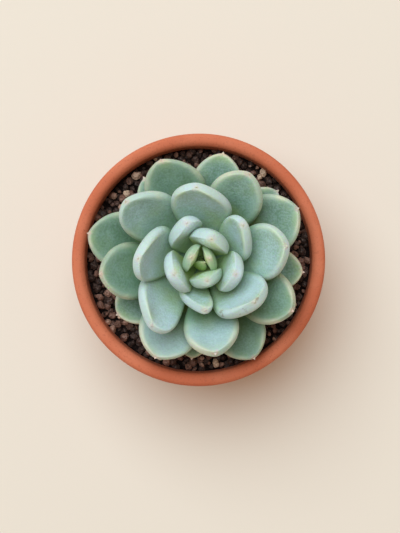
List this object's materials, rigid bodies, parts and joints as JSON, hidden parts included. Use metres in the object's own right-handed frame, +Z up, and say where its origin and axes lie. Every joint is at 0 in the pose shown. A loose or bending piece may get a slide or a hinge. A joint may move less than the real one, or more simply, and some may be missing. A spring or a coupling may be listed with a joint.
{
  "type": "potted succulent",
  "caption": "Rosette succulent with fleshy pointed leaves, growing in gritty mix in a shallow terracotta pot.",
  "frame": {"origin": "centre of the pot's underside, on the surface that it stands on", "axes": "+Z up along the pot's axis, +Y towards the top of the picture, +X to its right"},
  "size_m": [0.12, 0.12, 0.0996],
  "materials": {
    "terracotta": "unglazed, matt",
    "grit": "loose rough grains",
    "stem": "dull, slightly woody",
    "bud_leaf": "waxy, satin",
    "leaf": "satin under a pale waxy bloom"
  },
  "bodies": {
    "root": {"pot": "terracotta", "grit": "grit", "stem": "stem", "bud_leaf_1": "bud_leaf", "bud_leaf_2": "bud_leaf", "bud_leaf_3": "bud_leaf", "inner_leaf_1": "leaf", "inner_leaf_2": "leaf", "inner_leaf_3": "leaf", "inner_leaf_4": "leaf", "inner_leaf_5": "leaf", "inner_leaf_6": "leaf", "inner_leaf_7": "leaf", "middle_leaf_1": "leaf", "middle_leaf_2": "leaf", "middle_leaf_3": "leaf", "middle_leaf_4": "leaf", "middle_leaf_5": "leaf", "middle_leaf_6": "leaf", "outer_leaf_1": "leaf", "outer_leaf_2": "leaf", "outer_leaf_3": "leaf", "outer_leaf_4": "leaf", "outer_leaf_5": "leaf", "outer_leaf_6": "leaf", "outer_leaf_7": "leaf", "outer_leaf_8": "leaf", "outer_leaf_9": "leaf", "outer_leaf_10": "leaf", "lowest_leaf_1": "leaf", "lowest_leaf_2": "leaf", "lowest_leaf_3": "leaf", "lowest_leaf_4": "leaf", "lowest_leaf_5": "leaf"}
  },
  "joints": []
}
